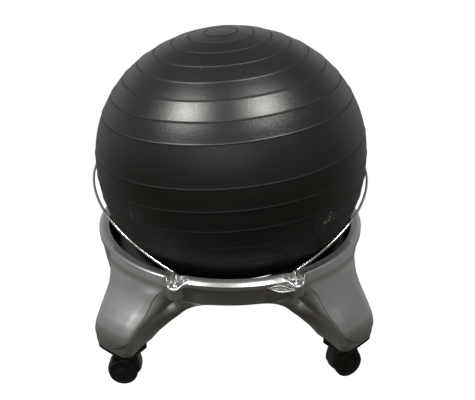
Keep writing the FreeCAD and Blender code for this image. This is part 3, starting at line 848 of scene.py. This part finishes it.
def hood_mesh():
    """closed form of a caster's hood, stem on the z axis, wheels trailing along +x"""
    zs = [24.9, 26.0, 28.0, 31.0, 34.0, 37.0, 40.0, 43.0, 46.0, 49.0, 52.0, 54.5, 57.0, 59.0, 60.8, 62.4, 63.8, 65.0, 66.0, 66.8, 67.4, 67.8, 68.0]
    verts, rings = [], []
    n = 96
    for z in zs:
        c = sqrt(max(30.0 ** 2 - (z - 27.8) ** 2, 0.0))
        x1 = 10.0 + c
        x0 = 10.0 - c
        hx1 = max(x1, 34.0 - 0.3 * max(z - 46, 0))
        hx0 = min(x0, -24.0 + 0.25 * max(z - 40, 0)) if z > 30 else x0 - 4.0 * float(sstep(24.9, 31, z))
        hy = 21.0
        ins = 0.0
        if z > 58.0:
            t = (z - 58.0) / 10.0
            ins = 9.5 * (1 - sqrt(max(0.0, 1 - t * t)))
        hy2 = hy - ins - 0.10 * max(z - 44.0, 0)
        hx1 -= ins
        hx0 += ins
        cx, hx = (hx0 + hx1) / 2, (hx1 - hx0) / 2
        ids = []
        for k in range(n):
            t = 2 * pi * k / n
            e = 2.0 / 4.6
            ct, st = cos(t), sin(t)
            x = cx + hx * np.sign(ct) * abs(ct) ** e
            y = hy2 * np.sign(st) * abs(st) ** e
            ids.append(len(verts))
            verts.append(Vector((float(x), float(y), z)) * MM)
        rings.append(ids)
    faces = []
    for A, B in zip(rings, rings[1:]):
        for k in range(n):
            faces.append((A[k], A[(k + 1) % n], B[(k + 1) % n], B[k]))
    faces.append(tuple(rings[-1]))
    faces.append(tuple(reversed(rings[0])))
    return verts, faces


def cyl_mesh(r, y0, y1, cx, cz, n=96, bevel=0.0):
    prof = [(0.0, y0), (r - bevel, y0), (r, y0 + bevel), (r, y1 - bevel), (r - bevel, y1), (0.0, y1)] if bevel else [(0.0, y0), (r, y0), (r, y1), (0.0, y1)]
    v, f = revolve([(a * MM, h * MM) for a, h in prof], n, Vector((cx, 0, cz)) * MM, (0, 1, 0), ref=(1, 0, 0))
    return v, f


def scratch(name, vf):
    return new_mesh_object(name, vf[0], vf[1], None, smooth=False, weld=1e-6)


def boolean(ob, tool, op):
    m = ob.modifiers.new("b", "BOOLEAN")
    m.operation = op
    m.solver = "EXACT"
    m.object = tool


hood0 = scratch("hood_form", hood_mesh())
cut_a = scratch("hood_room_a", cyl_mesh(28.4, 4.0, 40.0, 10.0, 27.8))
cut_b = scratch("hood_room_b", cyl_mesh(28.4, -40.0, -4.0, 10.0, 27.8))
web = scratch("hood_web", cyl_mesh(11.0, -3.9, 3.9, 10.0, 27.8, bevel=0.6))
bore = scratch("hood_bore", cyl_mesh(3.0, -30.0, 30.0, 10.0, 27.8, n=32))
boolean(hood0, cut_a, "DIFFERENCE")
boolean(hood0, cut_b, "DIFFERENCE")
boolean(hood0, web, "UNION")
boolean(hood0, bore, "DIFFERENCE")
bv_ = hood0.modifiers.new("edge", "BEVEL")
bv_.width = 0.00045
bv_.segments = 2
bv_.limit_method = "ANGLE"
bv_.angle_limit = radians(50)
bake_modifiers(hood0, sharp=50)
for o in (cut_a, cut_b, web, bore):
    m_ = o.data
    bpy.data.objects.remove(o)
    bpy.data.meshes.remove(m_)

WP = [(3.1, 5.0), (9.0, 5.0), (9.6, 5.5), (22.6, 5.5), (23.2, 5.0), (25.4, 5.05), (26.6, 5.5), (27.4, 6.3), (27.75, 7.4), (27.8, 8.6), (27.8, 12.2), (27.8, 15.8),
      (27.7, 16.8), (27.3, 17.8), (26.6, 18.7), (25.6, 19.4), (24.4, 19.8), (23.2, 19.95), (22.4, 19.9), (21.7, 19.5), (21.0, 19.15), (16.0, 19.2), (10.2, 19.3),
      (9.2, 19.4), (8.5, 19.8), (7.8, 20.15), (6.2, 20.4), (4.0, 20.55), (2.0, 20.6), (0.0, 20.6)]
wv, wf = revolve([(r * MM, h * MM) for r, h in WP], 96, (0, 0, 0), (0, 1, 0), ref=(1, 0, 0))
wheel0 = new_mesh_object("wheel_form", wv, wf, None, weld=1e-6)
# a plain moulded disc with six shallow ribs on its outer face
ribs = []
bm = bmesh.new()
for k in range(6):
    ang = k * pi / 3
    res = bmesh.ops.create_cube(bm, size=1.0)
    for vv in res["verts"]:
        c = vv.co
        x = 9.4 + (c.x + 0.5) * 11.8
        z = c.z * (1.5 if c.y < 0 else 0.9)
        y = 18.9 + (c.y + 0.5) * 0.75
        vv.co = Vector((x * cos(ang) - z * sin(ang), y, x * sin(ang) + z * cos(ang))) * MM
bmesh.ops.recalc_face_normals(bm, faces=bm.faces)
rib_me = bpy.data.meshes.new("wheel_ribs")
bm.to_mesh(rib_me)
bm.free()
rib_ob = bpy.data.objects.new("wheel_ribs", rib_me)
scene.collection.objects.link(rib_ob)
boolean(wheel0, rib_ob, "UNION")
bake_modifiers(wheel0, sharp=40)
bpy.data.objects.remove(rib_ob)
bpy.data.meshes.remove(rib_me)


def placed(name, src, mat, mtx):
    me = src.data.copy()
    me.name = name
    me.transform(mtx)
    me.materials.clear()
    me.materials.append(mat)
    for p in me.polygons:
        p.material_index = 0
    ob = bpy.data.objects.new(name, me)
    scene.collection.objects.link(ob)
    return ob


for q in QUADS:
    a_ = radians(LEG_AZ[q])
    tr = radians(TRAIL_AZ[q])
    stem = Vector((STEM_U * cos(a_), STEM_U * sin(a_), 0)) * MM
    axle = stem + Vector((TRAIL * cos(tr), TRAIL * sin(tr), WHEEL_R)) * MM
    rot = Matrix.Rotation(tr, 4, "Z")
    h = placed("hood_" + q, hood0, M_hood, Matrix.Translation(stem) @ rot)
    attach(h, "caster_" + q)
    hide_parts("caster_%s_hood" % q)
    for side, extra in (("left", 0.0), ("right", pi)):
        wob = placed("tread_%s_%s" % (q, side), wheel0, M_wheel, Matrix.Translation(axle) @ Matrix.Rotation(tr + extra, 4, "Z"))
        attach(wob, "wheel_%s_%s" % (q, side))
        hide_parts("caster_%s_wheel_%s" % (q, side))
for o in (hood0, wheel0):
    m_ = o.data
    bpy.data.objects.remove(o)
    bpy.data.meshes.remove(m_)

# ------------------------------------------------------------ retaining bars
LUG_X, LUG_Y = 109.0, 234.7
BETA = radians(31.25)
CORNER_Z = 251.0
BOW = [(0.0, -234.7), (46.0, -227.0), (179.9, -190.3), (179.9, 0.0)]
ROD_R = 2.4


def bow_pt(t):
    a, b, c, d = (1 - t) ** 3, 3 * (1 - t) ** 2 * t, 3 * (1 - t) * t * t, t ** 3
    return (a * BOW[0][0] + b * BOW[1][0] + c * BOW[2][0] + d * BOW[3][0], a * BOW[0][1] + b * BOW[1][1] + c * BOW[2][1] + d * BOW[3][1])


def bar_path(side):
    lift = lambda a, y: Vector((side * (LUG_X + a * cos(BETA)), y, CORNER_Z + a * sin(BETA)))
    pts = []
    start = Vector((side * LUG_X, -LUG_Y, 188.0))
    corner = Vector((side * LUG_X, -LUG_Y, CORNER_Z))
    p1 = lift(*bow_pt(0.03))
    d = (p1 - corner).normalized()
    ang = Vector((0, 0, 1)).angle(d)
    bend = 8.0
    tl = bend * tan(ang / 2)
    b0 = corner - Vector((0, 0, 1)) * tl
    b1 = corner + d * tl
    # straight part, finely stepped where it is threaded
    z = 188.0
    while z < 240.0:
        pts.append((Vector((start.x, start.y, z)), "thread"))
        z += 0.2
    while z < b0.z - 1.0:
        pts.append((Vector((start.x, start.y, z)), "plain"))
        z += 1.5
    mid = (Vector((0, 0, -1)) + d).normalized()
    cen = corner + mid * (bend / cos(ang / 2))
    u0 = (b0 - cen).normalized()
    axis = u0.cross((b1 - cen).normalized()).normalized()
    for k in range(11):
        r = Matrix.Rotation(ang * k / 10, 3, axis)
        pts.append((cen + (r @ u0) * bend, "plain"))
    for k in range(1, 91):
        t = 0.03 + 0.97 * k / 90
        pts.append((lift(*bow_pt(t)), "plain"))
    back = [(Vector((p.x, -p.y, p.z)), kind) for p, kind in reversed(pts[:-1])]
    return pts + back


def rod_mesh(side, n=20):
    path = bar_path(side)
    P = [p for p, _ in path]
    verts, faces = [], []
    nrm = Vector((0, 1, 0))
    prev = None
    rows = []
    for i, (p, kind) in enumerate(path):
        tdir = (P[min(i + 1, len(P) - 1)] - P[max(i - 1, 0)]).normalized()
        nrm = (nrm - tdir * nrm.dot(tdir)).normalized()
        bi = tdir.cross(nrm)
        ids = []
        dz = p.z - 188.0
        for k in range(n):
            t = 2 * pi * k / n
            r = ROD_R
            if kind == "thread":
                ph = (dz / 0.8 + (k / n)) % 1.0
                r = ROD_R - 0.24 * (1 - abs(2 * ph - 1)) * float(sstep(0.0, 0.6, dz)) * float(1 - sstep(50.0, 52.0, dz))
                r -= 0.7 * float(1 - sstep(0.0, 1.0, dz))
            ids.append(len(verts))
            verts.append((p + nrm * (r * cos(t)) + bi * (r * sin(t))) * MM)
        rows.append(ids)
    for A, B in zip(rows, rows[1:]):
        for k in range(n):
            faces.append((A[k], A[(k + 1) % n], B[(k + 1) % n], B[k]))
    faces.append(tuple(reversed(rows[0])))
    faces.append(tuple(rows[-1]))
    return verts, faces


for side, nm in ((-1, "left"), (1, "right")):
    rv, rf = rod_mesh(side)
    rod = new_mesh_object("bar_" + nm, rv, rf, M_zinc, weld=1e-7, sharp=60)
    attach(rod, "base")
    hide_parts("retaining_bar_" + nm)


# ------------------------------------------------------------ nuts and washers
def hex_nut(verts, faces, cx, cy, z0, h, af=8.0, bore=2.42, n=60):
    """hexagonal nut with chamfered corners and a countersunk bore"""
    r_flat = af / 2
    rows = []

    def ring(radius_fn, z):
        ids = []
        for k in range(n):
            t = 2 * pi * k / n
            r = radius_fn(t)
            ids.append(len(verts))
            verts.append(Vector((cx + r * cos(t), cy + r * sin(t), z)) * MM)
        rows.append(ids)

    def hexr(t, cap):
        q = (t + pi / 6) % (pi / 3) - pi / 6
        return min(r_flat / cos(q), cap)

    corner = r_flat / cos(pi / 6)
    ring(lambda t: bore + 0.35, z0)
    ring(lambda t: r_flat - 0.15, z0)
    ring(lambda t: hexr(t, r_flat + 0.10), z0 + 0.03)
    ring(lambda t: hexr(t, r_flat + 0.42), z0 + 0.28)
    ring(lambda t: hexr(t, corner - 0.04), z0 + 0.55)
    ring(lambda t: hexr(t, corner - 0.04), z0 + h - 0.55)
    ring(lambda t: hexr(t, r_flat + 0.42), z0 + h - 0.28)
    ring(lambda t: hexr(t, r_flat + 0.10), z0 + h - 0.03)
    ring(lambda t: r_flat - 0.15, z0 + h)
    ring(lambda t: bore + 0.35, z0 + h)
    ring(lambda t: bore, z0 + h - 0.35)
    ring(lambda t: bore, z0 + 0.35)
    rows.append(rows[0])
    for A, B in zip(rows, rows[1:]):
        for k in range(n):
            faces.append((A[k], A[(k + 1) % n], B[(k + 1) % n], B[k]))


def flat_washer(verts, faces, cx, cy, z0, h, ro=5.6, ri=2.6, n=48):
    prof = [(ri, z0 + 0.1), (ri + 0.1, z0), (ro - 0.15, z0), (ro, z0 + 0.15), (ro, z0 + h - 0.2), (ro - 0.2, z0 + h), (ri + 0.1, z0 + h), (ri, z0 + h - 0.1)]
    rows = []
    for r, z in prof:
        ids = []
        for k in range(n):
            t = 2 * pi * k / n
            ids.append(len(verts))
            verts.append(Vector((cx + r * cos(t), cy + r * sin(t), z)) * MM)
        rows.append(ids)
    rows.append(rows[0])
    for A, B in zip(rows, rows[1:]):
        for k in range(n):
            faces.append((A[k], A[(k + 1) % n], B[(k + 1) % n], B[k]))


corners = [(sx * LUG_X, sy * LUG_Y) for sx in (-1, 1) for sy in (-1, 1)]
for nm, node, fn, z0, h in (("hex_nuts_upper", "upper_nuts", hex_nut, 225.0, 4.0), ("hex_nuts_lower", "lower_nuts", hex_nut, 196.0, 4.0),
                            ("washers", "upper_washers", flat_washer, 224.0, 1.0)):
    V_, F_ = [], []
    for x, y in corners:
        fn(V_, F_, x, y, z0, h)
    ob = new_mesh_object(nm, V_, F_, M_nut, weld=1e-7, sharp=28)
    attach(ob, "base")
    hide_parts(node)

# ------------------------------------------------------------------ blank pad
PAD_N = Vector((0.0678, -0.9038, 0.4226)).normalized()
PAD_TIPS = [(54.3, -252.5, 226.0), (106.6, -252.3, 218.1)]
PAD_OVER = [(60.6, -251.4, 227.4), (67.9, -250.4, 228.3), (78.7, -249.5, 228.5), (87.7, -249.3, 227.5), (98.5, -250.8, 222.6)]
PAD_UNDER = [(62.3, -253.8, 221.9), (74.9, -254.9, 217.5), (85.7, -254.6, 216.5), (96.6, -253.7, 216.7)]
t0, t1 = Vector(PAD_TIPS[0]), Vector(PAD_TIPS[1])
t1 = t1 - PAD_N * (t1 - t0).dot(PAD_N)
PE1 = (t1 - t0).normalized()
PE2 = PAD_N.cross(PE1)
PC = (t0 + t1) / 2
PL = (t1 - t0).length / 2


def pad_sh(p):
    d = Vector(p) - PC
    return d.dot(PE1), d.dot(PE2)


over = [(-PL, 0.0)] + [pad_sh(p) for p in PAD_OVER] + [(PL, 0.0)]
undr = [(-PL, 0.0)] + [pad_sh(p) for p in PAD_UNDER] + [(PL, 0.0)]
if over[3][1] < 0:
    PE2 = -PE2
    over = [(a, -b) for a, b in over]
    undr = [(a, -b) for a, b in undr]


def pad_ring(inset, height, n=64):
    """outline set in by inset, lifted by height along the pad's normal"""
    pts = []
    k = max(0.05, 1 - 3.1 * inset / PL)
    ss = [-cos(pi * i / n) for i in range(n + 1)]
    for s_ in ss:
        s0 = s_ * PL
        h = float(np.interp(s0, [a for a, _ in over], [b for _, b in over]))
        pts.append((s0 * k, max(h - inset, 0.02) if abs(s_) < 0.999 else 0.0))
    for s_ in ss[::-1][1:-1]:
        s0 = s_ * PL
        h = float(np.interp(s0, [a for a, _ in undr], [b for _, b in undr]))
        pts.append((s0 * k, min(h + inset, -0.02)))
    # round the outline a little
    P = np.array(pts)
    for _ in range(3):
        P = 0.25 * np.roll(P, 1, 0) + 0.5 * P + 0.25 * np.roll(P, -1, 0)
    return [PC + PE1 * float(a) + PE2 * float(b) + PAD_N * height for a, b in P]


pad_rows = [(0.0, -12.0), (0.0, -6.0), (0.0, -1.2), (0.05, -0.4), (0.35, 0.10), (0.80, 0.30), (1.30, 0.22), (1.65, -0.15), (1.85, -0.65), (2.2, -0.95), (3.0, -1.0), (4.0, -0.9), (5.2, -0.8)]
verts, rows = [], []
for ins, hgt in pad_rows:
    ids = []
    for p in pad_ring(ins, hgt):
        ids.append(len(verts))
        verts.append(p * MM)
    rows.append(ids)
faces = []
m_ = len(rows[0])
for A, B in zip(rows, rows[1:]):
    for k in range(m_):
        faces.append((A[k], A[(k + 1) % m_], B[(k + 1) % m_], B[k]))
cid = len(verts)
verts.append((PC + PAD_N * -0.75) * MM)
for k in range(m_):
    faces.append((rows[-1][k], rows[-1][(k + 1) % m_], cid))
pad = new_mesh_object("blank_plate", verts, faces, M_base, weld=1e-6, sharp=50)
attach(pad, "base")
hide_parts("blank_pad")

# ----------------------------------------------------------------- valve plug
VP = Vector((-2.18, 254.69, 430.05))
VN = Vector((-0.0188, 0.9768, 0.2133)).normalized()
prof = [(0.0, -14.5), (2.6, -14.5), (3.3, -13.8), (3.9, -12.5), (3.9, -9.5), (3.5, -9.0), (3.9, -8.4), (3.9, -5.0), (3.5, -4.5), (3.9, -3.9), (3.9, 0.3),
        (5.6, 0.32), (6.3, 0.5), (6.5, 0.9), (6.4, 1.3), (6.0, 1.58), (5.2, 1.7), (4.2, 1.68), (3.6, 1.45), (3.2, 1.2), (1.2, 1.1), (0.0, 1.1)]
pv, pf = revolve([(r * MM, h * MM) for r, h in prof], 64, VP * MM, VN)
plug = new_mesh_object("valve_stopper", pv, pf, M_plug, weld=1e-7, sharp=45)
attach(plug, "plug")
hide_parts("valve_plug")

# ------------------------------------------------------------- the surroundings
def white_stage(name, strength):
    m = bpy.data.materials.new(name)
    m.use_nodes = True
    nt = m.node_tree
    for n in list(nt.nodes):
        nt.nodes.remove(n)
    out = nt.nodes.new("ShaderNodeOutputMaterial")
    e = nt.nodes.new("ShaderNodeEmission")
    e.inputs["Color"].default_value = (1, 1, 1, 1)
    e.inputs["Strength"].default_value = strength
    nt.links.new(e.outputs[0], out.inputs[0])
    return m


M_floor = white_stage("pale_floor", 1.05)
v, f = revolve([(0.0, 0.0), (0.6, 0.0), (2.0, 0.0), (6.0, 0.0), (12.0, 0.0), (17.0, 2.0), (20.0, 8.0), (18.0, 16.0), (9.0, 22.0), (0.0, 24.0)], 64, (0, 0, -0.0005), (0, 0, 1))
floor = new_mesh_object("floor_sweep", v, f, M_floor)
for flag in ("visible_diffuse", "visible_glossy", "visible_transmission", "visible_volume_scatter", "visible_shadow"):
    setattr(floor, flag, False)

w = bpy.data.worlds.new("studio")
scene.world = w
w.use_nodes = True
nt = w.node_tree
for n in list(nt.nodes):
    nt.nodes.remove(n)
wo = nt.nodes.new("ShaderNodeOutputWorld")
bg = nt.nodes.new("ShaderNodeBackground")
tc = nt.nodes.new("ShaderNodeTexCoord")
sep = nt.nodes.new("ShaderNodeSeparateXYZ")
nt.links.new(tc.outputs["Generated"], sep.inputs[0])
# up and down
mr = rng(nt, sep.outputs["Z"], -1.0, 1.0, 0.0, 1.0)
front = ramp(nt, mr.outputs["Result"], [(0.0, (0.060, 0.050, 0.038, 1)), (0.40, (0.078, 0.066, 0.050, 1)), (0.49, (0.115, 0.106, 0.090, 1)), (0.56, (0.20, 0.205, 0.20, 1)),
                                       (0.72, (0.075, 0.077, 0.074, 1)), (1.0, (0.07, 0.072, 0.07, 1))])
back = ramp(nt, mr.outputs["Result"], [(0.0, (0.090, 0.080, 0.066, 1)), (0.30, (0.22, 0.217, 0.206, 1)), (0.45, (0.42, 0.43, 0.42, 1)), (0.56, (0.62, 0.65, 0.62, 1)),
                                      (0.72, (0.22, 0.23, 0.22, 1)), (1.0, (0.10, 0.103, 0.10, 1))])
# from the camera's side to the far side
my = rng(nt, sep.outputs["Y"], -0.15, 0.75, 0.0, 1.0)
side_mix = nt.nodes.new("ShaderNodeMixRGB")
nt.links.new(my.outputs["Result"], side_mix.inputs["Fac"])
nt.links.new(front.outputs["Color"], side_mix.inputs["Color1"])
nt.links.new(back.outputs["Color"], side_mix.inputs["Color2"])
nt.links.new(side_mix.outputs["Color"], bg.inputs["Color"])
bg.inputs["Strength"].default_value = 1.0
nt.links.new(bg.outputs[0], wo.inputs[0])


def area(name, pos, target, size, power, colour=(1, 1, 1)):
    d = bpy.data.lights.new(name, "AREA")
    d.shape = "DISK"
    d.size = size
    d.energy = power
    d.color = colour
    o = bpy.data.objects.new(name, d)
    scene.collection.objects.link(o)
    o.location = pos
    o.rotation_mode = "QUATERNION"
    o.rotation_quaternion = (Vector(target) - Vector(pos)).to_track_quat("-Z", "Y")
    return o


tgt = Vector((0, 0, 0.35))
area("lamp_left", tgt + Vector((-0.54, -0.29, 0.79)) * 2.3, tgt, 0.46, 54, (1.0, 0.99, 0.96))
area("lamp_right", tgt + Vector((0.35, -0.33, 0.88)) * 2.3, tgt, 0.46, 48, (1.0, 0.99, 0.96))
fill = area("front_fill", tgt + Vector((-0.15, -0.87, 0.47)) * 2.4, tgt, 2.0, 5.0, (1.0, 1.0, 0.98))
fill.data.shape = "RECTANGLE"
fill.data.size_y = 0.7

cam_d = bpy.data.cameras.new("camera")
cam_d.sensor_fit = "HORIZONTAL"
cam_d.sensor_width = 36.0
cam_d.lens = 1072.0 / 475.0 * 36.0
cam = bpy.data.objects.new("camera", cam_d)
scene.collection.objects.link(cam)
cam.location = (-0.07779, -1.88609, 1.23273)
cam.rotation_euler = (radians(90 - 26.869), radians(0.0), radians(-2.8))
cam_d.clip_start, cam_d.clip_end = 0.05, 100.0
scene.camera = cam

scene.view_settings.view_transform = "Standard"
scene.view_settings.look = "None"
scene.view_settings.exposure = 0.0
scene.view_settings.gamma = 1.0
